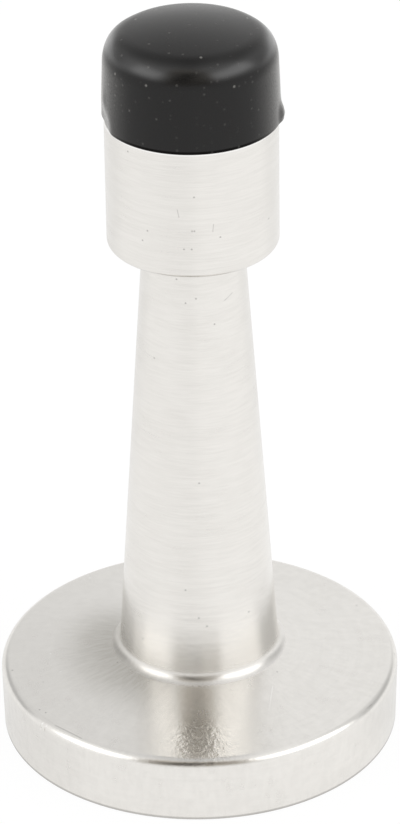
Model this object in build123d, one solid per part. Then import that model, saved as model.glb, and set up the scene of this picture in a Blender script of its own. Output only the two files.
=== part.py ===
from build123d import *

import os
from math import radians, tan

# Floor door stop: a one-piece metal body, and the rubber tip that the door meets.
# The stop stands upright on its flat underside. The origin is the centre of the
# underside, +Z runs up the stem, and all sizes are in millimetres.

# Base, the round foot of the body
BASE_DIAMETER = 42.0
BASE_RIM_HEIGHT = 7.1
BASE_RIM_DRAFT = 0.15
BASE_TOP_RISE = 1.8
BASE_EDGE_RADIUS = 1.0
FLOOR_EDGE_CHAMFER = 0.3

# Shallow relief in the underside, so that only the land round it bears on the floor
LAND_WIDTH = 3.5
RELIEF_DEPTH = 1.0

# Stem, a straight cone from the base up to the head
STEM_LENGTH = 47.3
STEM_FOOT_DIAMETER = 16.8
STEM_NECK_DIAMETER = 10.3
FOOT_CHAMFER = 0.6

# Head, the plain cylinder that carries the tip
HEAD_LENGTH = 13.7
HEAD_DIAMETER = 17.4
HEAD_LOWER_CHAMFER = 0.45
HEAD_UPPER_CHAMFER = 0.15

# Spigot on the head: a lip with a lead-in, above a groove that the tip snaps into
SPIGOT_DIAMETER = 11.0
SPIGOT_UNDERCUT = 0.8
SPIGOT_GROOVE_LENGTH = 2.4
SPIGOT_LIP_LENGTH = 3.6
SPIGOT_LEAD_IN = 1.0

# Rubber tip, a cap pushed over the spigot, with a tapered side and a soft dome
TIP_HEIGHT = 10.1
TIP_OVERHANG = 0.27
TIP_TAPER = 0.34
TIP_CROWN_RISE = 1.4
TIP_SHOULDER_RADIUS = 3.3
TIP_CLEARANCE = 0.05

# Blind tapped hole under the stem, for an M6 hanger bolt, at its tapping size
TAPPING_DIAMETER = 5.0
TAPPED_LENGTH = 18.0
MOUTH_CHAMFER = 0.5
DRILL_POINT_ANGLE = 118.0

# Heights above the floor that follow from the sizes
FOOT_HEIGHT = BASE_RIM_HEIGHT + BASE_TOP_RISE
NECK_HEIGHT = FOOT_HEIGHT + STEM_LENGTH
SEAT_HEIGHT = NECK_HEIGHT + HEAD_LENGTH


def tapped_hole():
    """Drill point, straight wall and chamfered mouth of the blind hole, from its end downwards."""
    wall_radius = TAPPING_DIAMETER / 2
    wall_end = RELIEF_DEPTH + TAPPED_LENGTH
    point_length = wall_radius / tan(radians(DRILL_POINT_ANGLE / 2))
    return [
        (0, wall_end + point_length, 0),
        (wall_radius, wall_end, 0),
        (wall_radius, RELIEF_DEPTH + MOUTH_CHAMFER, 0),
        (wall_radius + MOUTH_CHAMFER, RELIEF_DEPTH, 0),
    ]


def base():
    """Relieved underside, the land that bears on the floor, drafted rim and gently conical top."""
    rim_radius = BASE_DIAMETER / 2
    floor_radius = rim_radius - BASE_RIM_DRAFT
    relief_radius = floor_radius - LAND_WIDTH
    foot_radius = STEM_FOOT_DIAMETER / 2
    top_slope = BASE_TOP_RISE / (rim_radius - foot_radius)
    return [
        (relief_radius, RELIEF_DEPTH, 0),
        (relief_radius, 0, 0),
        (floor_radius - FLOOR_EDGE_CHAMFER, 0, 0),
        (floor_radius, FLOOR_EDGE_CHAMFER, 0),
        (rim_radius, BASE_RIM_HEIGHT, BASE_EDGE_RADIUS),
        (foot_radius + FOOT_CHAMFER, FOOT_HEIGHT - FOOT_CHAMFER * top_slope, 0),
    ]


def stem():
    """Straight taper from the small chamfer at the foot up to the neck."""
    foot_radius = STEM_FOOT_DIAMETER / 2
    neck_radius = STEM_NECK_DIAMETER / 2
    taper = (foot_radius - neck_radius) / STEM_LENGTH
    return [
        (foot_radius - FOOT_CHAMFER * taper, FOOT_HEIGHT + FOOT_CHAMFER, 0),
        (neck_radius, NECK_HEIGHT, 0),
    ]


def head():
    """Plain head with a small chamfer below and a crisp edge above."""
    head_radius = HEAD_DIAMETER / 2
    return [
        (head_radius - HEAD_LOWER_CHAMFER, NECK_HEIGHT, 0),
        (head_radius, NECK_HEIGHT + HEAD_LOWER_CHAMFER, 0),
        (head_radius, SEAT_HEIGHT - HEAD_UPPER_CHAMFER, 0),
        (head_radius - HEAD_UPPER_CHAMFER, SEAT_HEIGHT, 0),
    ]


def spigot(clearance):
    """Groove, lip and lead-in above the seat. The tip's cavity is the same form, wider all round."""
    lip_radius = SPIGOT_DIAMETER / 2 + clearance
    groove_radius = lip_radius - SPIGOT_UNDERCUT
    groove_top = SEAT_HEIGHT + SPIGOT_GROOVE_LENGTH - clearance
    spigot_top = SEAT_HEIGHT + SPIGOT_GROOVE_LENGTH + SPIGOT_LIP_LENGTH + clearance
    return [
        (groove_radius, SEAT_HEIGHT, 0),
        (groove_radius, groove_top, 0),
        (lip_radius, groove_top, 0),
        (lip_radius, spigot_top - SPIGOT_LEAD_IN, 0),
        (lip_radius - SPIGOT_LEAD_IN, spigot_top, 0),
        (0, spigot_top, 0),
    ]


def half_section(corners):
    """Outline through (radius, height, rounding radius) corners, open at its two ends."""
    points = [(radius, height) for radius, height, _ in corners]
    roundings = [rounding for _, _, rounding in corners[1:-1]]
    return FilletPolyline(*points, radius=roundings)


def make_body():
    """Base, stem, head and spigot turned as one piece round the blind hole."""
    corners = tapped_hole() + base() + stem() + head() + spigot(0)
    with BuildPart() as body:
        with BuildSketch(Plane.XZ):
            with BuildLine():
                outline = half_section(corners)
                Line(outline @ 1, outline @ 0)
            make_face()
        revolve(axis=Axis.Z)
    return body.part


def make_rubber_tip():
    """Domed cap, flat on the head and proud of it all round, with its cavity round the spigot."""
    rim_radius = HEAD_DIAMETER / 2 + TIP_OVERHANG
    crown = (0, SEAT_HEIGHT + TIP_HEIGHT)
    shoulder = (rim_radius - TIP_TAPER, SEAT_HEIGHT + TIP_HEIGHT - TIP_CROWN_RISE)
    cavity_and_side = spigot(TIP_CLEARANCE)[::-1] + [(rim_radius, SEAT_HEIGHT, 0), (*shoulder, 0)]
    with BuildPart() as tip:
        with BuildSketch(Plane.XZ) as section:
            with BuildLine():
                outline = half_section(cavity_and_side)
                TangentArc(crown, shoulder, tangent=(1, 0))
                Line(crown, outline @ 0)
            make_face()
            fillet(section.vertices().sort_by_distance(shoulder)[0], TIP_SHOULDER_RADIUS)
        revolve(axis=Axis.Z)
    return tip.part


def main():
    """Write one file for each piece."""
    os.makedirs("parts", exist_ok=True)
    export_step(make_body(), "parts/body.step")
    export_step(make_rubber_tip(), "parts/rubber_tip.step")


main()
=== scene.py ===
# %% [markdown]
# # A floor door stop, turned and dressed on its CAD frame
#
# The real stop is two pieces: a metal body with a satin nickel finish, and a black rubber tip
# pushed over a spigot on its head. Both are round about one upright axis. So the lesson is about
# turning: draw half of a section as a thin wire, round its corners, and spin it round the axis.
# Then comes what a year of use adds, such as nicks, scratches, pits and dust.
#
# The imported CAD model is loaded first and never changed. It gives the sizes that must agree.

# %% Load the fixed frame
from math import atan2, cos, degrees, pi, radians, sin, tan

import bmesh
import bpy
from mathutils import Matrix, Vector


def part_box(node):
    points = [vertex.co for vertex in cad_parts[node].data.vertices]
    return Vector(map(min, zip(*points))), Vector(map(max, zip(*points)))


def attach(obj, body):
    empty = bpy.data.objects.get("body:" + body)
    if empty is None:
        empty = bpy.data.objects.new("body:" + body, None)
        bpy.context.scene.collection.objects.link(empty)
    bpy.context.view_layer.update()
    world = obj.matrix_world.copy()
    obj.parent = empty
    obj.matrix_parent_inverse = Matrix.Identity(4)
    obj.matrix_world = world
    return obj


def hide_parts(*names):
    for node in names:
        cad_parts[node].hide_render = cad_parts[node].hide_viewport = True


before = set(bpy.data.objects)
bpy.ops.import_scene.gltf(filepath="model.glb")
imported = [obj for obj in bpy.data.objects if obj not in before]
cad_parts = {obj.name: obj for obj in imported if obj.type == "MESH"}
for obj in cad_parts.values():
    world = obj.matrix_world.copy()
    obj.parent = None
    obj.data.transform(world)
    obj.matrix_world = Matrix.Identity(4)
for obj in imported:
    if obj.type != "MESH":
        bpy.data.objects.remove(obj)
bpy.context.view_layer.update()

MM = 0.001
body_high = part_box("body")[1]
tip_low, tip_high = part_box("rubber_tip")

# %% [markdown]
# ## Driving sizes
#
# A maker's drawing of the stop has few sizes: how wide the base is, where the stem starts and ends,
# and how long the head is. The floor is at height zero, and the seat of the tip and its crown are
# read from the frame, so that both pieces meet where the CAD pieces do.

# %% Driving sizes
BASE_RADIUS = 20.998 * MM
BASE_FLOOR_RADIUS = 20.85 * MM
BASE_RIM_HEIGHT = 7.1 * MM
FOOT_RADIUS = 8.4 * MM
FOOT_HEIGHT = 8.9 * MM
NECK_RADIUS = 5.15 * MM
NECK_HEIGHT = 56.2 * MM
HEAD_RADIUS = 8.7 * MM
SEAT_HEIGHT = tip_low.z
CROWN_HEIGHT = tip_high.z
TIP_RADIUS = (tip_high.x - tip_low.x) / 2
stem_taper = (FOOT_RADIUS - NECK_RADIUS) / (NECK_HEIGHT - FOOT_HEIGHT)
base_slope = (FOOT_HEIGHT - BASE_RIM_HEIGHT) / (BASE_RADIUS - FOOT_RADIUS)
print("stem leans in by", round(degrees(atan2(stem_taper, 1)), 2), "degrees")
print("base top rises by", round(degrees(atan2(base_slope, 1)), 2), "degrees")

# %% [markdown]
# ## Tools for turning
#
# A lathe cuts a section, and Blender's Spin does the same. The section could be a curve with a
# Screw modifier, but a wire of vertices is simpler to round: a vertex bevel at a corner is what a
# form tool or a file does there. The bevel is measured along the two lines that meet, so the
# radius is first turned into that length.

# %% Draw a wire and round its corners
TURN_STEPS = 288


def draw_wire(name, corners):
    """Draw half of a section in the XZ plane, by extruding one vertex from corner to corner."""
    bpy.ops.object.select_all(action="DESELECT")
    bpy.ops.mesh.primitive_plane_add(size=MM, enter_editmode=True)
    piece = bpy.context.object
    piece.name = name
    piece.data.name = name
    bpy.ops.mesh.select_mode(type="VERT")
    bpy.ops.mesh.merge(type="CENTER")
    radius, height = corners[0]
    bpy.ops.transform.translate(value=(radius, 0, height))
    for (r0, z0), (r1, z1) in zip(corners, corners[1:]):
        step = (r1 - r0, 0, z1 - z0)
        bpy.ops.mesh.extrude_vertices_move(TRANSFORM_OT_translate={"value": step})
    return piece


def select_where(piece, test):
    """Select the vertices whose place passes the test, and nothing else."""
    bpy.ops.mesh.select_all(action="DESELECT")
    mesh = bmesh.from_edit_mesh(piece.data)
    for vertex in mesh.verts:
        vertex.select_set(test(vertex.co))
    mesh.select_flush(True)
    bmesh.update_edit_mesh(piece.data)
    return sum(vertex.select for vertex in mesh.verts)


def round_corner(piece, corner, radius, steps):
    """Round one corner of the wire to a radius, with a bevel of its vertex."""
    place = Vector((corner[0], 0, corner[1]))
    select_where(piece, lambda co: (co - place).length < 0.001 * MM)
    mesh = bmesh.from_edit_mesh(piece.data)
    vertex = next(v for v in mesh.verts if v.select)
    one, two = (edge.other_vert(vertex).co - vertex.co for edge in vertex.link_edges)
    reach = radius / tan(one.angle(two) / 2)
    bpy.ops.mesh.bevel(offset=reach, segments=steps, affect="VERTICES", profile=0.5)


def divide_runs(piece, longest, cuts):
    """Divide the straight runs that are longer than this, so that they can be shaped later."""
    bpy.ops.mesh.select_all(action="DESELECT")
    bpy.ops.mesh.select_mode(type="EDGE")
    mesh = bmesh.from_edit_mesh(piece.data)
    for edge in mesh.edges:
        edge.select_set(edge.calc_length() > longest)
    bmesh.update_edit_mesh(piece.data)
    bpy.ops.mesh.subdivide(number_cuts=cuts)
    bpy.ops.mesh.select_mode(type="VERT")


def turn_wire(piece):
    """Spin the wire a full turn, close the seam and the poles, and face it outwards."""
    bpy.ops.mesh.select_all(action="SELECT")
    bpy.ops.mesh.spin(steps=TURN_STEPS, angle=2 * pi, center=(0, 0, 0), axis=(0, 0, 1))
    bpy.ops.mesh.select_all(action="SELECT")
    bpy.ops.mesh.remove_doubles(threshold=0.0005 * MM)
    bpy.ops.mesh.normals_make_consistent(inside=False)
    bpy.ops.object.mode_set(mode="OBJECT")


def smooth(piece, sharp_above=35):
    """Shade smooth but for real edges. Large faces rule the normals beside fine roundings."""
    bpy.ops.object.select_all(action="DESELECT")
    piece.select_set(True)
    bpy.context.view_layer.objects.active = piece
    bpy.ops.object.shade_smooth_by_angle(angle=radians(sharp_above))
    bpy.ops.object.modifier_add(type="WEIGHTED_NORMAL")
    piece.modifiers[-1].keep_sharp = True
    bpy.ops.object.modifier_apply(modifier=piece.modifiers[-1].name)


def report(piece):
    """Print the size of a piece and whether its mesh is closed."""
    mesh = bmesh.new()
    mesh.from_mesh(piece.data)
    open_edges = sum(not edge.is_manifold for edge in mesh.edges)
    faces = sum(len(face.verts) - 2 for face in mesh.faces)
    volume = mesh.calc_volume(signed=True) / MM**3
    size = [round(v / MM, 2) for v in piece.dimensions]
    mesh.free()
    print(piece.name, "mm", size, "triangles", faces, "open edges", open_edges, "mm3", round(volume))


# %% [markdown]
# ## The metal body
#
# The body is one casting, skimmed on a lathe and plated: base, stem, head and the hidden spigot.
# Its look depends on the edges. The rim of the base has a full millimetre of rounding that catches
# the light as a bright ring, the stem runs into the base through a small fillet, and the edges of
# the head are only just broken. All of it is one wire, from the end of the hidden fixing hole,
# round the base and up the stem to the top of the spigot.

# %% Sizes of the hidden parts of the body
THREAD_RADIUS = 3.0 * MM
HOLE_RADIUS = 2.5 * MM
HOLE_END = 19.0 * MM
DRILL_POINT = 1.5 * MM
THREAD_END = 17.0 * MM
RELIEF_DEPTH = 1.0 * MM
RELIEF_RADIUS = 17.35 * MM
SPIGOT_RADIUS = 5.5 * MM
GROOVE_RADIUS = 4.7 * MM
GROOVE_TOP = SEAT_HEIGHT + 2.4 * MM
SPIGOT_TOP = body_high.z
LEAD_IN = 1.0 * MM

hole = [
    (0, HOLE_END + DRILL_POINT),
    (HOLE_RADIUS, HOLE_END),
    (HOLE_RADIUS, THREAD_END),
    (THREAD_RADIUS, THREAD_END - (THREAD_RADIUS - HOLE_RADIUS)),
    (THREAD_RADIUS, RELIEF_DEPTH),
]
underside = [(RELIEF_RADIUS, RELIEF_DEPTH), (RELIEF_RADIUS, 0), (BASE_FLOOR_RADIUS, 0)]
spigot = [
    (GROOVE_RADIUS, SEAT_HEIGHT),
    (GROOVE_RADIUS, GROOVE_TOP),
    (SPIGOT_RADIUS, GROOVE_TOP),
    (SPIGOT_RADIUS, SPIGOT_TOP - LEAD_IN),
    (SPIGOT_RADIUS - LEAD_IN, SPIGOT_TOP),
    (0, SPIGOT_TOP),
]
print("spigot stands", round((SPIGOT_TOP - SEAT_HEIGHT) / MM, 2), "mm above the head")

# %% Draw the wire of the body
# The top of the base is hollow by a hair, so its line has a few points between rim and stem.
HOLLOW = 0.1 * MM
HOLLOW_POINTS = (0.17, 0.28, 0.39, 0.5, 0.61, 0.72, 0.83)

rim_corner = (BASE_RADIUS, BASE_RIM_HEIGHT)
foot_corner = (FOOT_RADIUS, FOOT_HEIGHT)
neck_corner = (NECK_RADIUS, NECK_HEIGHT)
head_lower = (HEAD_RADIUS, NECK_HEIGHT)
head_upper = (HEAD_RADIUS, SEAT_HEIGHT)
base_top = [
    (BASE_RADIUS + (FOOT_RADIUS - BASE_RADIUS) * share,
     BASE_RIM_HEIGHT + (FOOT_HEIGHT - BASE_RIM_HEIGHT) * share - HOLLOW * 4 * share * (1 - share))
    for share in HOLLOW_POINTS
]
outside = [rim_corner] + base_top + [foot_corner, neck_corner, head_lower, head_upper]
section = hole + underside + outside + spigot
stop_body = draw_wire("stop_body", section)
print("half of the section has", len(section), "points")

# %% Round the corners and turn the body
# Each corner, its radius in millimetres and the steps of its rounding.
ROUNDED = [
    (underside[0], 0.5, 8),
    (underside[1], 0.15, 4),
    (underside[2], 0.12, 4),
    (rim_corner, 1.0, 16),
    (foot_corner, 1.2, 16),
    (neck_corner, 0.25, 8),
    (head_lower, 0.6, 12),
    (head_upper, 0.12, 6),
]
for corner, radius, steps in ROUNDED:
    round_corner(stop_body, corner, radius * MM, steps)
turn_wire(stop_body)
report(stop_body)

# %% [markdown]
# ## The screw thread in the foot
#
# A screw comes up through the floor plate into a tapped hole, M6 with a pitch of one millimetre.
# The thread could be a bump, but a thread has an outline, so it is a real ridge: a triangle wound
# up the hole by a Screw modifier, closed at both ends, and joined to the metal by a Boolean.

# %% Wind the thread and join it
PITCH = 1.0 * MM
THREAD_TURNS = 14
RIDGE_REACH = 0.5 * MM
RIDGE_CENTRE = THREAD_RADIUS - 0.04 * MM
THREAD_START = RELIEF_DEPTH + 0.75 * MM
STEPS_PER_TURN = 48


def add_modifier(piece, kind, **settings):
    """Add a modifier with its settings and apply it."""
    bpy.ops.object.select_all(action="DESELECT")
    piece.select_set(True)
    bpy.context.view_layer.objects.active = piece
    bpy.ops.object.modifier_add(type=kind)
    modifier = piece.modifiers[-1]
    for name, value in settings.items():
        setattr(modifier, name, value)
    bpy.ops.object.modifier_apply(modifier=modifier.name)


def combine(piece, tool, operation):
    """Join a tool to a piece, or cut it away, and delete the tool."""
    add_modifier(piece, "BOOLEAN", object=tool, operation=operation, solver="EXACT")
    bpy.data.objects.remove(tool)


def wind_thread():
    """A triangle wound into a ridge. It points at the axis and is closed at both ends."""
    bpy.ops.object.select_all(action="DESELECT")
    bpy.ops.mesh.primitive_circle_add(
        vertices=3, radius=RIDGE_REACH, location=(RIDGE_CENTRE, 0, THREAD_START),
        rotation=(pi / 2, -pi / 2, 0))
    bpy.ops.object.transform_apply(location=True, rotation=True, scale=True)
    ridge = bpy.context.object
    add_modifier(ridge, "SCREW", screw_offset=PITCH, iterations=THREAD_TURNS,
                 steps=STEPS_PER_TURN, render_steps=STEPS_PER_TURN)
    bpy.ops.object.mode_set(mode="EDIT")
    bpy.ops.mesh.select_all(action="DESELECT")
    bpy.ops.mesh.select_non_manifold()
    bpy.ops.mesh.fill_holes(sides=3)
    bpy.ops.mesh.select_all(action="SELECT")
    bpy.ops.mesh.normals_make_consistent(inside=False)
    bpy.ops.object.mode_set(mode="OBJECT")
    return ridge


combine(stop_body, wind_thread(), "UNION")
report(stop_body)

# %% [markdown]
# ## Nicks in the rim
#
# The rounded rim is where the base gets knocked. On the real stop there are two short upright
# grooves at the left, and a few shallow chips along the inner edge of the rounding. Each is cut
# with a small stretched ball, so the chip has the hollow shape that a knock leaves.

# %% Cut the nicks
# Turn in degrees from the front, radius and height of the middle, then half sizes along the rim,
# across it and up. All lengths are in millimetres.
NICKS = [
    (-52.0, 20.99, 6.85, 0.13, 0.22, 0.62),
    (-50.2, 20.97, 6.75, 0.11, 0.20, 0.55),
    (-48.0, 20.42, 7.32, 0.42, 0.16, 0.16),
    (-42.2, 20.40, 7.30, 0.24, 0.17, 0.17),
    (-38.2, 20.44, 7.29, 0.20, 0.14, 0.14),
    (-20.8, 20.40, 7.29, 0.15, 0.14, 0.14),
    (42.5, 20.90, 6.98, 0.26, 0.14, 0.20),
]


def place_on(turn, radius, height):
    """A point in metres, from its turn in degrees from the front and its size in millimetres."""
    return Vector((radius * sin(radians(turn)), -radius * cos(radians(turn)), height)) * MM


def nick_cutters():
    """All the balls that cut the rim, as one mesh."""
    balls = []
    for turn, radius, height, along, across, up in NICKS:
        bpy.ops.mesh.primitive_uv_sphere_add(
            segments=16, ring_count=10, radius=MM, location=place_on(turn, radius, height),
            rotation=(0, 0, radians(turn)), scale=(along, across, up))
        balls.append(bpy.context.object)
    bpy.ops.object.select_all(action="DESELECT")
    for ball in balls:
        ball.select_set(True)
    bpy.ops.object.join()
    bpy.ops.object.transform_apply(location=True, rotation=True, scale=True)
    return bpy.context.object


combine(stop_body, nick_cutters(), "DIFFERENCE")
smooth(stop_body)
report(stop_body)

# %% [markdown]
# ## The rubber tip
#
# The tip is moulded, so it has no crisp edge: its side leans in a little so that it leaves the
# mould, its shoulder is a soft curve of over three millimetres, and its crown is a shallow dome.
# The cavity inside repeats the spigot with a little play. The dome could be a sphere cut flat, but
# the shoulder would then be wrong. Here two arcs meet without a corner: the shoulder's arc touches
# the side and the crown's arc, and its centre follows from that.

# %% Find the arcs of the tip
TIP_TAPER = 0.34 * MM
CROWN_RISE = 1.4 * MM
SHOULDER_RADIUS = 3.3 * MM

crown_edge = TIP_RADIUS - TIP_TAPER
crown_radius = (crown_edge**2 + CROWN_RISE**2) / (2 * CROWN_RISE)
crown_centre = Vector((0, CROWN_HEIGHT - crown_radius))
lean = atan2(TIP_TAPER, CROWN_HEIGHT - CROWN_RISE - SEAT_HEIGHT)
side_out = Vector((cos(lean), sin(lean)))
side_up = Vector((-sin(lean), cos(lean)))
start = Vector((TIP_RADIUS, SEAT_HEIGHT)) - side_out * SHOULDER_RADIUS - crown_centre
along = start.dot(side_up)
climb = (along**2 - start.length_squared + (crown_radius - SHOULDER_RADIUS) ** 2) ** 0.5 - along
shoulder_centre = crown_centre + start + side_up * climb
meeting = atan2(start.y + side_up.y * climb, start.x + side_up.x * climb)


def arc(centre, radius, first, last, steps):
    """Points along an arc, from one angle to another."""
    turns = [first + (last - first) * i / steps for i in range(steps + 1)]
    return [(centre.x + radius * cos(turn), centre.y + radius * sin(turn)) for turn in turns]


print("shoulder meets crown", round(degrees(pi / 2 - meeting), 1), "degrees from the top")

# %% Turn the tip
TIP_PLAY = 0.05 * MM
LIP = 0.07 * MM

cavity = [
    (0, SPIGOT_TOP + TIP_PLAY),
    (SPIGOT_RADIUS + TIP_PLAY - LEAD_IN, SPIGOT_TOP + TIP_PLAY),
    (SPIGOT_RADIUS + TIP_PLAY, SPIGOT_TOP + TIP_PLAY - LEAD_IN),
    (SPIGOT_RADIUS + TIP_PLAY, GROOVE_TOP - TIP_PLAY),
    (GROOVE_RADIUS + TIP_PLAY, GROOVE_TOP - TIP_PLAY),
    (GROOVE_RADIUS + TIP_PLAY, SEAT_HEIGHT),
]
lip = [(HEAD_RADIUS + 0.02 * MM, SEAT_HEIGHT), (HEAD_RADIUS + 0.02 * MM, SEAT_HEIGHT - LIP)]
tip_rim = (TIP_RADIUS, SEAT_HEIGHT - LIP)
shoulder = arc(shoulder_centre, SHOULDER_RADIUS, lean, meeting, 20)
crown = arc(crown_centre, crown_radius, meeting, pi / 2, 14)[1:]
tip_cap = draw_wire("tip_cap", cavity + lip + [tip_rim] + shoulder + crown)
round_corner(tip_cap, tip_rim, 0.2 * MM, steps=6)
divide_runs(tip_cap, 2 * MM, 11)
turn_wire(tip_cap)
report(tip_cap)

# %% [markdown]
# ## What the mould and the years did to the tip
#
# On the right a thin fin of flash stands out from the lower rim, where the mould closed. On the
# left the rim is tucked in, with a small bulge above it, and the shoulder is a little fuller at
# both sides. Proportional editing does this as a thumb would: a few vertices are moved and their
# neighbours follow less and less.

# %% Shape the flash, the tuck and the bulges
PICKED_WITHIN = 0.35 * MM
# Turn in degrees, radius and height of the place, then the push outwards and its reach, all in
# millimetres.
DEFORMED = [
    ("flash", 84, 8.97, 70.65, 0.36, 1.5),
    ("tuck", -78, 8.97, 70.0, -0.34, 2.6),
    ("bulge", -76, 8.86, 72.8, 0.06, 1.0),
    ("left shoulder", -112, 7.9, 78.4, 0.12, 3.0),
    ("right shoulder", 108, 7.9, 78.4, 0.08, 3.0),
]


def push_out(piece, turn, radius, height, push, reach):
    """Move the outer skin of the tip in or out round one place."""
    spot = place_on(turn, radius, height)
    out = place_on(turn, 1, 0) / MM
    bpy.ops.object.mode_set(mode="EDIT")
    count = select_where(piece, lambda co: (co - spot).length < PICKED_WITHIN)
    bpy.ops.transform.translate(
        value=out * push * MM, use_proportional_edit=True, proportional_edit_falloff="SMOOTH",
        proportional_size=reach * MM)
    bpy.ops.object.mode_set(mode="OBJECT")
    return count


for label, *sizes in DEFORMED:
    print(label, "moved from", push_out(tip_cap, *sizes), "vertices")
smooth(tip_cap)
report(tip_cap)

# %% [markdown]
# ## Tools for materials
#
# A material is a small net of nodes. A few helpers keep it readable: one adds a node with its
# settings and its wires in one line, and the others do a sum or a soft change.

# %% Node helpers


def node(tree, kind, wires=None, **settings):
    """Add a shader node. Each wire is an input's name with a value or another node's output."""
    made = tree.nodes.new("ShaderNode" + kind)
    for name, value in settings.items():
        setattr(made, name, value)
    for name, value in (wires or {}).items():
        if isinstance(value, bpy.types.NodeSocket):
            tree.links.new(value, made.inputs[name])
        else:
            made.inputs[name].default_value = value
    return made


def sums(tree, operation, *values, clamp=False):
    """Output of one Math node."""
    made = node(tree, "Math", dict(enumerate(values)), operation=operation, use_clamp=clamp)
    return made.outputs[0]


def vectors(tree, operation, *values, output="Vector"):
    """Output of one Vector Math node."""
    made = node(tree, "VectorMath", dict(enumerate(values)), operation=operation)
    return made.outputs[output]


def fade(tree, value, start, end, low=0.0, high=1.0):
    """Smooth change from low to high while the value goes from start to end."""
    wires = {"Value": value, "From Min": start, "From Max": end, "To Min": low, "To Max": high}
    made = node(tree, "MapRange", wires, interpolation_type="SMOOTHSTEP")
    return made.outputs["Result"]


def band(tree, value, low, high, soft):
    """1 while the value is between low and high, with soft ends."""
    begun = fade(tree, value, low - soft, low)
    return sums(tree, "MULTIPLY", begun, fade(tree, value, high + soft, high))


def blend(tree, share, one, two):
    """Mix of two numbers."""
    made = node(tree, "Mix", {"Factor": share, "A": one, "B": two}, data_type="FLOAT")
    return made.outputs["Result"]


def blend_colour(tree, share, one, two):
    """Mix of two colours. The colour sockets of this node come after those for numbers."""
    made = tree.nodes.new("ShaderNodeMix")
    made.data_type = "RGBA"
    sockets = made.inputs["Factor"], made.inputs[6], made.inputs[7]
    for socket, value in zip(sockets, (share, one, two)):
        if isinstance(value, bpy.types.NodeSocket):
            tree.links.new(value, socket)
        else:
            socket.default_value = value
    return made.outputs[2]


def new_group(name, inputs, outputs):
    """Start a node group with named sockets. Each is a name and a kind, such as Float or Vector."""
    group = bpy.data.node_groups.new(name, "ShaderNodeTree")
    for label, kind in inputs:
        group.interface.new_socket(label, in_out="INPUT", socket_type="NodeSocket" + kind)
    for label, kind in outputs:
        group.interface.new_socket(label, in_out="OUTPUT", socket_type="NodeSocket" + kind)
    given = group.nodes.new("NodeGroupInput").outputs
    return group, given, group.nodes.new("NodeGroupOutput").inputs


def use_group(tree, group, **wires):
    """Place a node group in a tree, with its own values. An underscore in a name is a space."""
    made = tree.nodes.new("ShaderNodeGroup")
    made.node_tree = group
    for name, value in wires.items():
        socket = made.inputs[name.replace("_", " ")]
        if isinstance(value, bpy.types.NodeSocket):
            tree.links.new(value, socket)
        else:
            socket.default_value = value
    return made.outputs


def new_material(name):
    """An empty material. Returns it, its tree, its Principled shader and the place on the piece."""
    material = bpy.data.materials.new(name)
    material.use_nodes = True
    tree = material.node_tree
    shader = tree.nodes["Principled BSDF"]
    place = tree.nodes.new("ShaderNodeTexCoord").outputs["Object"]
    return material, tree, shader, place


print("node helpers ready")

# %% [markdown]
# ## Brush lines
#
# The body was brushed while it turned, so every line runs round the axis. A wave pattern would look
# like a machine drawing. Noise stretched round the axis gives lines that start, fade and cross, as
# a real brush leaves them. The group works in turning coordinates: where on the circle, and how
# far along the section. With many arcs per turn and few lines per millimetre, the same group gives
# short strokes that point at the axis, which is how the base was rubbed last.

# %% Group for brush lines


def make_brush_group():
    """Lines round the Z axis. Height is for bump, Streak is for colour and roughness."""
    inputs = [("Place", "Vector"), ("Lines per mm", "Float"), ("Arcs per turn", "Float")]
    group, given, out = new_group("brush_lines", inputs, [("Height", "Float"), ("Streak", "Float")])
    split = node(group, "SeparateXYZ", {"Vector": given["Place"]}).outputs
    x, y, z = split["X"], split["Y"], split["Z"]
    square = sums(group, "MULTIPLY_ADD", x, x, sums(group, "MULTIPLY", y, y))
    radius = sums(group, "MAXIMUM", sums(group, "SQRT", square), 0.1 * MM)
    circle = sums(group, "DIVIDE", given["Arcs per turn"], 2 * pi)
    along = sums(group, "DIVIDE", sums(group, "SUBTRACT", z, radius), MM)
    spot = node(group, "CombineXYZ", {
        "X": sums(group, "MULTIPLY", sums(group, "DIVIDE", x, radius), circle),
        "Y": sums(group, "MULTIPLY", sums(group, "DIVIDE", y, radius), circle),
        "Z": sums(group, "MULTIPLY", along, given["Lines per mm"]),
    }).outputs[0]
    noise = node(group, "TexNoise", {"Vector": spot, "Scale": 1.0, "Detail": 3.0, "Roughness": 0.65})
    group.links.new(noise.outputs["Fac"], out["Height"])
    group.links.new(fade(group, noise.outputs["Fac"], 0.35, 0.65), out["Streak"])
    return group


brush_lines = make_brush_group()
print("group", brush_lines.name, "with", len(brush_lines.nodes), "nodes")

# %% [markdown]
# ## Scratches and specks
#
# A scratch is a short line with a width, and the distance from a point on the surface to that line
# makes its mask. A speck is simpler: only the distance to its middle counts. So many specks share
# one mask, made from the distance to the nearest of them, which keeps the material light. Specks
# are pits in the metal and grains of dust on the rubber.

# %% Group for one scratch, and a helper for many specks


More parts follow.
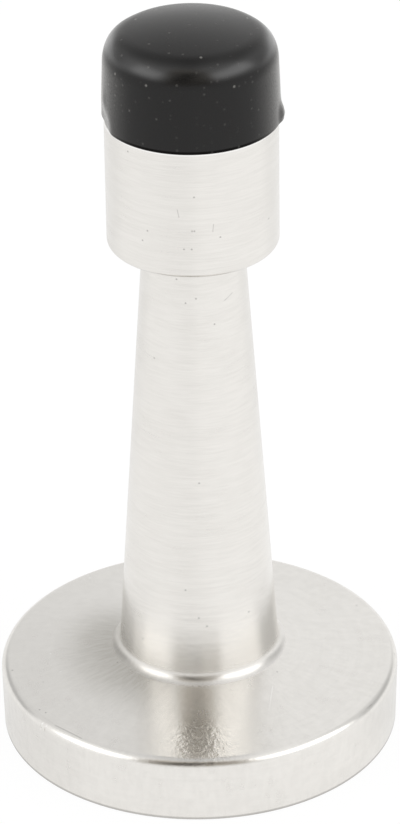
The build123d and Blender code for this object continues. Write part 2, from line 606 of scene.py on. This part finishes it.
def make_scratch_group():
    """Mask of one scratch, from its start to its end, with a soft edge."""
    inputs = [("Place", "Vector"), ("Start", "Vector"), ("End", "Vector"), ("Width", "Float")]
    group, given, out = new_group("scratch", inputs, [("Mask", "Float")])
    run = vectors(group, "SUBTRACT", given["End"], given["Start"])
    away = vectors(group, "SUBTRACT", given["Place"], given["Start"])
    shadow = vectors(group, "DOT_PRODUCT", away, run, output="Value")
    whole = vectors(group, "DOT_PRODUCT", run, run, output="Value")
    share = sums(group, "DIVIDE", shadow, whole, clamp=True)
    scaled = group.nodes.new("ShaderNodeVectorMath")
    scaled.operation = "SCALE"
    group.links.new(run, scaled.inputs["Vector"])
    group.links.new(share, scaled.inputs["Scale"])
    rest = vectors(group, "SUBTRACT", away, scaled.outputs["Vector"])
    distance = vectors(group, "LENGTH", rest, output="Value")
    across = sums(group, "DIVIDE", distance, given["Width"])
    group.links.new(fade(group, across, 1.0, 0.35), out["Mask"])
    return group


def scratched(tree, place, lines, width):
    """Mask of several scratches. Each line is its start and its end."""
    total = 0.0
    for start, end in lines:
        mask = use_group(tree, scratch, Place=place, Start=start, End=end, Width=width)["Mask"]
        total = sums(tree, "MAXIMUM", total, mask)
    return total


def specked(tree, place, spots, size):
    """Mask of many round specks of one size."""
    nearest = 1.0
    for spot in spots:
        distance = vectors(tree, "DISTANCE", place, spot, output="Value")
        nearest = sums(tree, "MINIMUM", nearest, distance)
    return fade(tree, nearest, size, size * 0.3)


scratch = make_scratch_group()
print("group", scratch.name, "with", len(scratch.nodes), "nodes")

# %% Where the metal is marked


def on_base(turn, radius):
    """Point on top of the base."""
    return place_on(turn, radius, (BASE_RIM_HEIGHT + (BASE_RADIUS - radius * MM) * base_slope) / MM)


def on_stem(turn, height):
    """Point on the side of the stem."""
    return place_on(turn, (FOOT_RADIUS + (FOOT_HEIGHT - height * MM) * stem_taper) / MM, height)


def on_head(turn, height):
    """Point on the side of the head."""
    return place_on(turn, HEAD_RADIUS / MM, height)


pits = [
    on_base(-70, 17.5), on_base(-64, 9.6), on_base(-81, 20.0), on_base(-57, 19.9),
    on_base(-54.5, 19.7), on_base(52, 10.3), on_base(117, 19.1), on_stem(-46, 12.5),
    on_stem(6, 15.3), on_stem(41, 15.8), on_stem(0, 16.3), on_stem(-10, 19.5),
    on_stem(2, 31.8), on_stem(-44, 45.0), on_stem(21, 49.3), on_stem(-9, 51.8),
    on_stem(2, 52.3), on_stem(-19, 54.3), on_head(-31, 61.0), on_head(-35, 59.8),
    on_head(-46, 69.0), on_head(1, 65.2), on_head(-0.6, 61.5), on_head(0.9, 61.5),
    on_head(-6, 59.5), on_head(-1, 59.5), on_head(18, 60.6), on_head(60, 60.6),
]
scratches = [
    (on_base(40, 11.7), on_base(25, 16.0)),
    (on_stem(34, 51.6), on_stem(45, 52.1)),
    (on_head(13, 61.3), on_head(13.5, 62.1)),
    (on_head(-9, 63.0), on_head(-10, 63.8)),
    (place_on(43.5, 20.78, 6.85), place_on(60, 20.66, 6.98)),
    (place_on(78, 20.99, 6.30), place_on(89, 20.72, 6.92)),
    (place_on(-47.5, 20.33, 7.16), place_on(-37, 20.33, 7.16)),
]
knocks = [
    (place_on(-52.2, 20.99, 6.2), place_on(-51.8, 20.75, 6.95)),
    (place_on(-50.4, 20.99, 6.3), place_on(-50.0, 20.75, 6.95)),
    (on_base(41, 11.6), on_base(27, 15.4)),
]
polished_spots = [on_base(-87, 15.8), on_base(-73, 15.3), on_base(-142, 19.3)]
print(len(pits), "pits,", len(scratches), "scratches and", len(knocks), "bright knocks")

# %% [markdown]
# ## Satin nickel
#
# Nickel is a slightly warm white metal. Brushing it spreads each reflection across the lines, so
# on the stem highlights stretch up and down, and on the base they stretch towards the axis. That is
# anisotropy with its tangent round the axis, turned a quarter. Fine lines, coarser strokes and
# soft clouds then vary the colour, the roughness and the bump a little. The base was also rubbed
# across, and only there do the short cross strokes show.
#
# One long function would be hard to follow, so each mask has a helper of its own.

# %% Brushing of the metal
# How much each set of lines dulls the metal, and how high it stands beside the fine lines.
FINE_STREAKS = 0.14
COARSE_STREAKS = 0.12
CROSS_STREAKS = 0.10
COARSE_RELIEF = 0.6
CROSS_RELIEF = 1.4
ROUND_LINES_ON_BASE = 0.45


def brushed(tree, place, on_foot):
    """Streaks that dull the metal, the relief of all lines, and the cross strokes alone."""
    fine = use_group(tree, brush_lines, Place=place, Lines_per_mm=9.0, Arcs_per_turn=14.0)
    coarse = use_group(tree, brush_lines, Place=place, Lines_per_mm=1.6, Arcs_per_turn=9.0)
    cross = use_group(tree, brush_lines, Place=place, Lines_per_mm=0.5, Arcs_per_turn=200.0)
    strokes = sums(tree, "MULTIPLY", cross["Streak"], on_foot)
    round_lines = blend(tree, on_foot, 1.0, ROUND_LINES_ON_BASE)
    streaks = sums(tree, "MULTIPLY", fine["Streak"], FINE_STREAKS)
    streaks = sums(tree, "MULTIPLY_ADD", coarse["Streak"], COARSE_STREAKS, streaks)
    streaks = sums(tree, "MULTIPLY", streaks, round_lines)
    streaks = sums(tree, "MULTIPLY_ADD", strokes, CROSS_STREAKS, streaks)
    relief = sums(tree, "MULTIPLY_ADD", coarse["Height"], COARSE_RELIEF, fine["Height"])
    relief = sums(tree, "MULTIPLY", relief, round_lines)
    raised = sums(tree, "MULTIPLY", cross["Height"], on_foot)
    relief = sums(tree, "MULTIPLY_ADD", raised, CROSS_RELIEF, relief)
    return streaks, relief, cross["Streak"]


print("brushing of the metal ready")

# %% [markdown]
# ## Wear, dirt, painted shade and painted reflections on the nickel
#
# Dirt fills the pits and the scratches. The seam under the head and the line along the floor get
# the same dark colour as painted shade. The upper edge of the head, a few spots and three knocks
# are rubbed bright instead. On top of the base a painted dark reflection fans out to the left of
# the stem, and in front of it lies a lighter smut that is partly a painted dark reflection. They
# could be pictures wrapped on the metal, but masks made from heights, radii and places stay sharp
# when the camera comes close, and they sit on the metal in every view.

# %% Wear of the metal, and painted shade
PIT_SIZE = 0.14 * MM
PIT_SHARE = 0.5
SCRATCH_WIDTH = 0.07 * MM
SCRATCH_SHARE = 0.3
# How dark the painted shade under the head and along the floor is.
PAINTED_SHADE_SHARE = 0.5
BRIGHT_SPOT_SIZE = 0.18 * MM
KNOCK_WIDTH = 0.11 * MM


def worn_and_shaded_places(tree, place, height):
    """Mask of the pits and the scratches, with painted shade under the head and along the floor."""
    pitted = sums(tree, "MULTIPLY", specked(tree, place, pits, PIT_SIZE), PIT_SHARE)
    lined = scratched(tree, place, scratches, SCRATCH_WIDTH)
    lined = sums(tree, "MULTIPLY", lined, SCRATCH_SHARE)
    # Painted shade: a dark ring just under the head and a dark line along the floor.
    under_head_shade = band(tree, height, NECK_HEIGHT + 0.02 * MM, NECK_HEIGHT + 0.16 * MM, 0.06 * MM)
    painted_shade = sums(tree, "MAXIMUM", under_head_shade, fade(tree, height, 0.40 * MM, 0.20 * MM))
    painted_shade = sums(tree, "MULTIPLY", painted_shade, PAINTED_SHADE_SHARE)
    return sums(tree, "MAXIMUM", sums(tree, "MAXIMUM", pitted, lined), painted_shade)


def bright_places(tree, place, height):
    """Mask of the head's upper edge, the polished spots and the knocks."""
    edge = fade(tree, height, SEAT_HEIGHT - 0.30 * MM, SEAT_HEIGHT - 0.24 * MM)
    bright = specked(tree, place, polished_spots, BRIGHT_SPOT_SIZE)
    bright = sums(tree, "MAXIMUM", edge, bright)
    return sums(tree, "MAXIMUM", bright, scratched(tree, place, knocks, KNOCK_WIDTH))


print("wear of the metal ready")

# %% Painted reflections and smut on the base
# Painted dark reflection: it fans out towards this side on top of the base.
PAINTED_FAN_SIDE = place_on(-74, 1, 0) / MM
# In front of the stem lies a light smut that is partly a painted dark reflection.
FRONT_SMUT_AND_REFLECTION_LINE = (on_base(-1.5, 11.5), on_base(-1.4, 18.4))
FRONT_SMUT_AND_REFLECTION_WIDTH = 2.3 * MM


def painted_fan_mask(tree, flat, radius, height, on_foot, strokes):
    """Mask of a painted dark reflection that fans out to one side on top of the base, broken by the
    strokes.
    """
    outwards = vectors(tree, "NORMALIZE", flat)
    side = vectors(tree, "DOT_PRODUCT", outwards, PAINTED_FAN_SIDE, output="Value")
    on_top = fade(tree, height, BASE_RIM_HEIGHT - 1.0 * MM, BASE_RIM_HEIGHT - 0.3 * MM)
    painted_fan = fade(tree, side, 0.35, 0.95)
    painted_fan = sums(tree, "MULTIPLY", painted_fan, fade(tree, radius, 16.5 * MM, 9.5 * MM))
    painted_fan = sums(tree, "MULTIPLY", sums(tree, "MULTIPLY", painted_fan, on_top), on_foot)
    return sums(tree, "MULTIPLY", painted_fan, blend(tree, strokes, 0.8, 1.0))


def front_smut_and_reflection_mask(tree, place, radius, on_foot, spots):
    """Mask of the light smut in front of the stem, partly a painted dark reflection, stronger near
    the rim and broken by spots.
    """
    start, end = FRONT_SMUT_AND_REFLECTION_LINE
    smut_and_reflection = use_group(tree, scratch, Place=place, Start=start, End=end, Width=FRONT_SMUT_AND_REFLECTION_WIDTH)
    smut_and_reflection = sums(tree, "MULTIPLY", smut_and_reflection["Mask"], fade(tree, radius, 11 * MM, 16.5 * MM))
    smut_and_reflection = sums(tree, "MULTIPLY", smut_and_reflection, fade(tree, spots, 0.35, 0.6, 0.5, 0.85))
    return sums(tree, "MULTIPLY", smut_and_reflection, on_foot)


print("smut of the base ready")

# %% Colours, roughness and relief of the nickel
NICKEL = (0.865, 0.845, 0.81, 1)
NICKEL_DULL = (0.70, 0.68, 0.645, 1)
# Painted dark reflection that fans out to the left of the stem.
PAINTED_FAN_REFLECTION = (0.56, 0.54, 0.50, 1)
# Light smut in front of the stem, partly a painted dark reflection.
FRONT_SMUT_AND_REFLECTION = (0.62, 0.60, 0.56, 1)
# Dark colour of dirt in pits and scratches, also used as painted shade under the head and along the
# floor.
DIRT_AND_SHADE = (0.22, 0.21, 0.20, 1)
POLISHED = (0.97, 0.96, 0.94, 1)
CLOUDS = 0.10
SPOTS = 0.10
SMOOTHEST = 0.22
ROUGHEST = 0.30
FILLET_ROUGHER = 0.07
WEAR_RELIEF = -3.0
# The plating is crackled round one place at the front of the base, and nearly even elsewhere.
CRACKLED = on_base(0.5, 17.9)
CRACKLE_CORE = 1.0 * MM
CRACKLE_REACH = 4.5 * MM
SKIN_RELIEF = 1.5
CRACKLE_RELIEF = 18.0


def crackled(tree, place, relief):
    """The relief with the skin of the plating added."""
    away = vectors(tree, "DISTANCE", place, CRACKLED, output="Value")
    strength = fade(tree, away, CRACKLE_REACH, CRACKLE_CORE, SKIN_RELIEF, CRACKLE_RELIEF)
    skin = node(tree, "TexNoise", {"Vector": place, "Scale": 2000.0, "Detail": 3.0}).outputs["Fac"]
    return sums(tree, "MULTIPLY_ADD", skin, strength, relief)


def nickel_roughness(tree, radius, height, dull):
    """Dull metal is rougher, and so is the fillet at the foot of the stem, which no pad reaches."""
    low_down = fade(tree, height, FOOT_HEIGHT + 1.5 * MM, FOOT_HEIGHT + 0.7 * MM)
    fillet = band(tree, radius, FOOT_RADIUS, FOOT_RADIUS + 0.5 * MM, 0.5 * MM)
    fillet = sums(tree, "MULTIPLY", fillet, low_down)
    rough = fade(tree, dull, 0.0, 0.5, SMOOTHEST, ROUGHEST)
    return sums(tree, "MULTIPLY_ADD", fillet, FILLET_ROUGHER, rough)


print("colours of the nickel ready")

# %% Satin nickel


def make_nickel():
    """Plated metal brushed round the axis, and across it on the base."""
    material, tree, shader, place = new_material("satin_nickel")
    height = node(tree, "SeparateXYZ", {"Vector": place}).outputs["Z"]
    flat = vectors(tree, "MULTIPLY", place, (1, 1, 0))
    radius = vectors(tree, "LENGTH", flat, output="Value")
    on_foot = fade(tree, height, FOOT_HEIGHT + 0.8 * MM, FOOT_HEIGHT)
    clouds = node(tree, "TexNoise", {"Vector": place, "Scale": 260.0, "Detail": 2.0}).outputs["Fac"]
    spots = node(tree, "TexNoise", {"Vector": place, "Scale": 900.0, "Detail": 3.0}).outputs["Fac"]
    streaks, relief, strokes = brushed(tree, place, on_foot)
    spotted = sums(tree, "MULTIPLY", on_foot, SPOTS)
    dull = sums(tree, "MULTIPLY_ADD", fade(tree, spots, 0.4, 0.65), spotted, streaks)
    dull = sums(tree, "MULTIPLY_ADD", fade(tree, clouds, 0.4, 0.75), CLOUDS, dull)
    worn_and_shaded = worn_and_shaded_places(tree, place, height)
    colour = blend_colour(tree, dull, NICKEL, NICKEL_DULL)
    # Painted dark reflection fanning out to the left of the stem.
    painted_fan = painted_fan_mask(tree, flat, radius, height, on_foot, strokes)
    colour = blend_colour(tree, painted_fan, colour, PAINTED_FAN_REFLECTION)
    # Light smut in front of the stem, partly a painted dark reflection.
    light = front_smut_and_reflection_mask(tree, place, radius, on_foot, spots)
    colour = blend_colour(tree, light, colour, FRONT_SMUT_AND_REFLECTION)
    # Dirt in the pits and scratches, with painted shade under the head and along the floor.
    colour = blend_colour(tree, worn_and_shaded, colour, DIRT_AND_SHADE)
    colour = blend_colour(tree, bright_places(tree, place, height), colour, POLISHED)
    tree.links.new(colour, shader.inputs["Base Color"])
    tree.links.new(nickel_roughness(tree, radius, height, dull), shader.inputs["Roughness"])
    relief = sums(tree, "MULTIPLY_ADD", worn_and_shaded, WEAR_RELIEF, relief)
    relief = crackled(tree, place, relief)
    bump = node(tree, "Bump", {"Height": relief, "Strength": 0.2, "Distance": 0.02 * MM})
    tree.links.new(bump.outputs["Normal"], shader.inputs["Normal"])
    shader.inputs["Metallic"].default_value = 1.0
    shader.inputs["Anisotropic"].default_value = 0.6
    shader.inputs["Anisotropic Rotation"].default_value = 0.25
    round_axis = node(tree, "Tangent", direction_type="RADIAL", axis="Z")
    tree.links.new(round_axis.outputs["Tangent"], shader.inputs["Tangent"])
    return material


satin_nickel = make_nickel()
stop_body.data.materials.clear()
stop_body.data.materials.append(satin_nickel)
print("body finish:", satin_nickel.name, "with", len(satin_nickel.node_tree.nodes), "nodes")

# %% [markdown]
# ## Black rubber
#
# Moulded rubber is nearly black, and what shows is its skin: a soft sheen from a fine grain, and
# pale dust that clings to it. Fine dust comes from the cells of a Voronoi texture, where only one
# cell in a few holds a grain. The largest grains are placed one by one. Where doors have rubbed the
# shoulder the rubber is polished, so a coat lies on it, the same all round. A painted sheen, the
# pale dust colour blended in where the surface turns away from view, is less on the crown than on
# the side.

# %% Colours and places on the rubber
RUBBER = (0.0085, 0.008, 0.0078, 1)
# Pale colour of the dust, also used for the painted sheen.
DUST_AND_SHEEN = (0.42, 0.41, 0.39, 1)
FINE_DUST_RIGHT = 0.10
FINE_DUST_LEFT = 0.17
LARGE_DUST = 0.4
GRAIN_SIZE = 0.2 * MM
# Painted sheen: how much pale colour is blended in where the surface turns away, less on the crown.
PAINTED_SHEEN = 1.3
PAINTED_SHEEN_ON_CROWN = 0.28
PAINTED_SHEEN_FROM = 0.3
PAINTED_SHEEN_POWER = 1.75
COAT = 0.92
SIDE_TOP = CROWN_HEIGHT - 2.7 * MM
# Turn in degrees from the front, radius and height in millimetres.
GRAINS = [
    (-30, 8.70, 76.75), (-58, 8.70, 76.7), (29, 8.71, 76.55), (-44, 8.45, 77.8),
    (-36, 8.17, 78.25), (25, 8.54, 77.6), (9, 6.56, 79.15), (-114, 5.83, 79.35),
    (113, 6.15, 79.27),
]
grains = [place_on(*sizes) for sizes in GRAINS]
print(len(grains), "large grains of dust")

# %% Black rubber


def make_rubber():
    """Semi-matt moulded rubber with dust."""
    material, tree, shader, place = new_material("black_rubber")
    grain = node(tree, "TexNoise", {"Vector": place, "Scale": 5000.0, "Detail": 3.0}).outputs["Fac"]
    cells = node(tree, "TexVoronoi", {"Vector": place, "Scale": 1500.0}).outputs
    chosen = fade(tree, node(tree, "SeparateColor", {0: cells["Color"]}).outputs[0], 0.72, 0.95)
    fine_dust = sums(tree, "MULTIPLY", fade(tree, cells["Distance"], 0.30, 0.05), chosen)
    large_dust = specked(tree, place, grains, GRAIN_SIZE)
    split = node(tree, "SeparateXYZ", {"Vector": place}).outputs
    height = split["Z"]
    dusty = fade(tree, split["X"], 2 * MM, -5 * MM, FINE_DUST_RIGHT, FINE_DUST_LEFT)
    fine_dust = sums(tree, "MULTIPLY", fine_dust, dusty)
    dust = sums(tree, "MAXIMUM", fine_dust, sums(tree, "MULTIPLY", large_dust, LARGE_DUST))
    # Painted sheen: the pale colour is blended in where the surface turns away from view.
    slant = node(tree, "LayerWeight", {"Blend": 0.5}).outputs["Facing"]
    slant = sums(tree, "POWER", sums(tree, "SUBTRACT", slant, PAINTED_SHEEN_FROM, clamp=True), PAINTED_SHEEN_POWER)
    on_crown = PAINTED_SHEEN * PAINTED_SHEEN_ON_CROWN
    most = fade(tree, height, SIDE_TOP + 0.4 * MM, SIDE_TOP - 0.8 * MM, on_crown, PAINTED_SHEEN)
    painted_sheen = sums(tree, "MULTIPLY", slant, most)
    painted_sheen = sums(tree, "MULTIPLY", painted_sheen, fade(tree, grain, 0.3, 0.6, 0.75, 1.15))
    colour = blend_colour(tree, dust, RUBBER, DUST_AND_SHEEN)
    tree.links.new(blend_colour(tree, painted_sheen, colour, DUST_AND_SHEEN), shader.inputs["Base Color"])
    tree.links.new(fade(tree, grain, 0.3, 0.7, 0.20, 0.27), shader.inputs["Roughness"])
    # Painted shade: the lowest rim of the tip is made black metal, which mirrors almost nothing, for
    # a dark line along it.
    shaded = fade(tree, height, SEAT_HEIGHT + 0.38 * MM, SEAT_HEIGHT + 0.24 * MM)
    tree.links.new(shaded, shader.inputs["Metallic"])
    rubbed = band(tree, height, SIDE_TOP + 0.6 * MM, SIDE_TOP + 0.95 * MM, 0.8 * MM)
    rubbed = sums(tree, "MULTIPLY", rubbed, COAT)
    tree.links.new(rubbed, shader.inputs["Coat Weight"])
    shader.inputs["Coat Roughness"].default_value = 0.26
    relief = sums(tree, "MULTIPLY_ADD", dust, 3.0, grain)
    bump = node(tree, "Bump", {"Height": relief, "Strength": 0.15, "Distance": 0.02 * MM})
    tree.links.new(bump.outputs["Normal"], shader.inputs["Normal"])
    shader.inputs["IOR"].default_value = 1.37
    return material


black_rubber = make_rubber()
tip_cap.data.materials.append(black_rubber)
print("tip finish:", black_rubber.name)

# %% [markdown]
# ## The studio
#
# The stop was photographed on glowing white, in a tent of soft boxes. Metal shows nothing but what
# is round it, so the tent matters more than any lamp: one bright box at the left, one at the right,
# a dark gap in front where the camera looks in, paler walls behind and a dimmer roof. The tent is
# painted on the world by direction: a bearing in degrees, 0 towards the camera and 90 to the right,
# and a rise above the horizon. What the camera itself sees is plain white.

# %% Group for a window in the tent


def make_window_group():
    """Mask of a window in the tent, with soft edges."""
    names = ["Bearing", "Rise", "Left", "Right", "Bottom", "Top", "Softness"]
    group, given, out = new_group("window", [(name, "Float") for name in names], [("Mask", "Float")])

    def inside(value, limit):
        """1 where the value is past the limit, 0 before it."""
        share = sums(group, "DIVIDE", sums(group, "SUBTRACT", value, limit), given["Softness"])
        return fade(group, share, -1.0, 1.0)

    wide = sums(group, "MULTIPLY", inside(given["Bearing"], given["Left"]),
                inside(given["Right"], given["Bearing"]))
    high = sums(group, "MULTIPLY", inside(given["Rise"], given["Bottom"]),
                inside(given["Top"], given["Rise"]))
    group.links.new(sums(group, "MULTIPLY", wide, high), out["Mask"])
    return group


window = make_window_group()
print("group", window.name, "with", len(window.nodes), "nodes")

# %% The tent of light
BACK_LEFT = 0.75
BACK_RIGHT = 0.93
BACK_CORNER = 0.72
SIDE_LOW = 0.50
BOX_LIGHT = 0.95
CORE_LIGHT = 2.2
GAP_LIGHT = 0.34
GAP_HIGH = 0.62
GAP_DEPTH = 0.03
GAP_TINT = (1.0, 0.92, 0.80, 1)
ROOF = 0.55
ROOF_LEFT = 0.23
ROOF_RIGHT = 0.40
HORIZON_FRONT = 0.88
HORIZON = 1.0
# Each pane of light: its edges left, right, bottom and top in degrees, how soft they are, and how
# bright it is. Low at the sides it is dim, then come the two boxes and the lamps inside them.
PANES = [
    (-152.0, -101.0, 4.0, 30.0, 8.0, SIDE_LOW),
    (101.0, 140.0, 4.0, 30.0, 8.0, SIDE_LOW),
    (-108.0, -34.0, 8.0, 64.0, 7.0, BOX_LIGHT),
    (30.0, 97.0, 8.0, 67.0, 7.0, BOX_LIGHT),
    (-88.0, -44.0, 18.0, 46.0, 7.0, CORE_LIGHT),
    (32.0, 94.0, 22.0, 47.0, 7.0, CORE_LIGHT),
]
# The gap is two panes that overlap, and it is darkest round two directions in it. Each of those is
# a bearing and a rise, and how many degrees away the dark starts to give way and ends.
GAP_PANES = [(-34.0, 29.0, 13.5, 56.0, 6.0), (-38.0, 20.0, 40.0, 66.0, 6.0)]
DEEP_PLACES = [(-12, 32, 3, 16), (-4, 46, 5, 13)]


def toward(bearing, rise):
    """Direction with this bearing and rise in degrees."""
    level = cos(radians(rise))
    return Vector((level * sin(radians(bearing)), -level * cos(radians(bearing)), sin(radians(rise))))


def near(tree, direction, bearing, rise, inner, outer):
    """Mask round one direction: 1 within the inner angle, 0 past the outer one."""
    match = vectors(tree, "DOT_PRODUCT", direction, toward(bearing, rise), output="Value")
    return fade(tree, match, cos(radians(outer)), cos(radians(inner)))


def make_tent():
    """World light that depends on direction, and is white to the camera."""
    world = bpy.data.worlds.new("light_tent")
    bpy.context.scene.world = world
    world.use_nodes = True
    tree = world.node_tree
    background = tree.nodes["Background"]
    direction = tree.nodes.new("ShaderNodeTexCoord").outputs["Generated"]
    split = node(tree, "SeparateXYZ", {"Vector": direction}).outputs
    across, front = split["X"], sums(tree, "MULTIPLY", split["Y"], -1.0)
    bearing = sums(tree, "MULTIPLY", sums(tree, "ARCTAN2", across, front), 180 / pi)
    rise = sums(tree, "MULTIPLY", sums(tree, "ARCSINE", split["Z"]), 180 / pi)
    where = {"Bearing": bearing, "Rise": rise}

    def pane(left, right, bottom, top, softness):
        return use_group(tree, window, **where, Left=left, Right=right, Bottom=bottom, Top=top,
                         Softness=softness)["Mask"]

    light = fade(tree, across, -0.25, 0.2, BACK_LEFT, BACK_RIGHT)
    light = blend(tree, fade(tree, across, 0.3, 0.6), light, BACK_CORNER)
    for left, right, bottom, top, softness, strength in PANES:
        light = blend(tree, pane(left, right, bottom, top, softness), light, strength)
    deep = sums(tree, "MAXIMUM", *(near(tree, direction, *middle) for middle in DEEP_PLACES))
    gap = sums(tree, "MAXIMUM", *(pane(*edges) for edges in GAP_PANES))
    dark = fade(tree, rise, 50.0, 60.0, GAP_LIGHT, GAP_HIGH)
    light = blend(tree, gap, light, blend(tree, deep, dark, GAP_DEPTH))
    roof = sums(tree, "ADD", fade(tree, across, 0.0, -0.3, ROOF, ROOF + ROOF_LEFT),
                fade(tree, across, 0.0, 0.3, 0.0, ROOF_RIGHT))
    light = blend(tree, fade(tree, rise, 60.0, 72.0), light, roof)
    low = fade(tree, front, 0.4, 0.9, HORIZON, HORIZON_FRONT)
    light = blend(tree, fade(tree, rise, 6.0, 14.0), low, light)
    seen = tree.nodes.new("ShaderNodeLightPath").outputs["Is Camera Ray"]
    tree.links.new(blend(tree, seen, light, 1.0), background.inputs["Strength"])
    tint = sums(tree, "MULTIPLY", gap, sums(tree, "SUBTRACT", 1.0, seen))
    tree.links.new(blend_colour(tree, tint, (1, 1, 1, 1), GAP_TINT), background.inputs["Color"])
    return world


make_tent()
print("the tent has", len(bpy.context.scene.world.node_tree.nodes), "nodes")

# %% [markdown]
# ## The glowing floor
#
# The stop stood on a sheet lit from below. To the camera and to the metal most of the floor's
# light is its own, so it stays white and shadows stay faint. The rest of its light is the tent's,
# which the stop shades. What the metal mirrors of it is a little brighter at the right and dimmer
# behind the stop, and close to the stop's left and right a shadow is painted into that glow.

# %% The glowing floor
FLOOR_SIZE = 8.0
FLOOR_WHITE = 0.8
FLOOR_GLOW = 1.04
MIRRORED_LEFT = 1.12
MIRRORED_RIGHT = 1.18
GLOW_TO_CAMERA = 0.9
GLOW_TO_METAL = 0.65
DIM_BEHIND = 0.10
PAINTED_SHADOW_CORE = 5 * MM
# Painted shadow in the floor's glow beside the stop: middle and reach in millimetres, and the share
# of light that is gone.
PAINTED_SHADOW_PLACES = [
    ((-27, -6, 0), 20, 0.10),
    ((27, 2, 0), 18, 0.12),
]


def make_floor():
    """White floor that glows to the camera and in reflections."""
    bpy.ops.object.select_all(action="DESELECT")
    bpy.ops.mesh.primitive_plane_add(size=FLOOR_SIZE)
    floor = bpy.context.object
    floor.name = "studio_floor"
    material = bpy.data.materials.new("glowing_floor")
    material.use_nodes = True
    tree = material.node_tree
    tree.nodes.clear()
    path = tree.nodes.new("ShaderNodeLightPath").outputs
    mirrored = sums(tree, "MAXIMUM", path["Is Glossy Ray"], path["Is Transmission Ray"])
    glow = sums(tree, "MAXIMUM", sums(tree, "MULTIPLY", path["Is Camera Ray"], GLOW_TO_CAMERA),
                sums(tree, "MULTIPLY", mirrored, GLOW_TO_METAL))
    place = tree.nodes.new("ShaderNodeTexCoord").outputs["Object"]
    split = node(tree, "SeparateXYZ", {"Vector": place}).outputs
    mirrored_glow_and_painted_shadow = fade(tree, split["X"], -20 * MM, 30 * MM, MIRRORED_LEFT, MIRRORED_RIGHT)
    mirrored_glow_and_painted_shadow = blend(tree, fade(tree, split["Y"], 15 * MM, 80 * MM, 0.0, DIM_BEHIND), mirrored_glow_and_painted_shadow, 0.0)
    # Painted shadow: the mirrored glow is dimmed round each of these places.
    for middle, reach, share in PAINTED_SHADOW_PLACES:
        away = vectors(tree, "DISTANCE", place, Vector(middle) * MM, output="Value")
        mirrored_glow_and_painted_shadow = blend(tree, fade(tree, away, reach * MM, PAINTED_SHADOW_CORE, 0.0, share), mirrored_glow_and_painted_shadow, 0.0)
    lit = node(tree, "BsdfDiffuse", {"Color": (FLOOR_WHITE, FLOOR_WHITE, FLOOR_WHITE, 1)})
    strength = blend(tree, path["Is Camera Ray"], mirrored_glow_and_painted_shadow, FLOOR_GLOW)
    own = node(tree, "Emission", {"Color": (1, 1, 1, 1), "Strength": strength})
    mixed = node(tree, "MixShader", {0: glow, 1: lit.outputs[0], 2: own.outputs[0]})
    node(tree, "OutputMaterial", {"Surface": mixed.outputs[0]})
    floor.data.materials.append(material)
    return floor


studio_floor = make_floor()
print("floor:", FLOOR_SIZE, "m square")

# %% [markdown]
# ## The camera
#
# The photograph was taken from about half a metre, looking down by 29 degrees, and slightly rolled.

# %% Place the camera
IMAGE_HEIGHT = 824
SENSOR = 36.0
FOCAL_PIXELS = 4330.78
CAMERA_DISTANCE = 445.243 * MM
CAMERA_PITCH = radians(29.146)
CAMERA_ROLL = radians(-0.839)
AIM = Vector((0.435, 0, 36.316)) * MM


def make_camera():
    """Camera at the photograph's place, built from its three axes."""
    back = Vector((0, -cos(CAMERA_PITCH), sin(CAMERA_PITCH)))
    level_up = Vector((0, sin(CAMERA_PITCH), cos(CAMERA_PITCH)))
    level_right = Vector((1, 0, 0))
    right = level_right * cos(CAMERA_ROLL) + level_up * sin(CAMERA_ROLL)
    up = level_up * cos(CAMERA_ROLL) - level_right * sin(CAMERA_ROLL)
    data = bpy.data.cameras.new("camera")
    data.sensor_width = SENSOR
    data.lens = FOCAL_PIXELS * SENSOR / IMAGE_HEIGHT
    camera = bpy.data.objects.new("camera", data)
    bpy.context.scene.collection.objects.link(camera)
    turned = Matrix((right, up, back)).transposed().to_4x4()
    camera.matrix_world = Matrix.Translation(AIM + back * CAMERA_DISTANCE) @ turned
    bpy.context.scene.camera = camera
    return camera


camera = make_camera()
print("lens", round(camera.data.lens, 2), "mm")

# %% Colour, and the pieces' places in the frame
bpy.context.scene.view_settings.view_transform = "Standard"
for piece, cad_node, slot in (
    (stop_body, "body", "satin_nickel"),
    (tip_cap, "rubber_tip", "black_rubber"),
):
    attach(piece, "root")
    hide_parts(cad_node)
    print(piece.name, "stands for", cad_node)
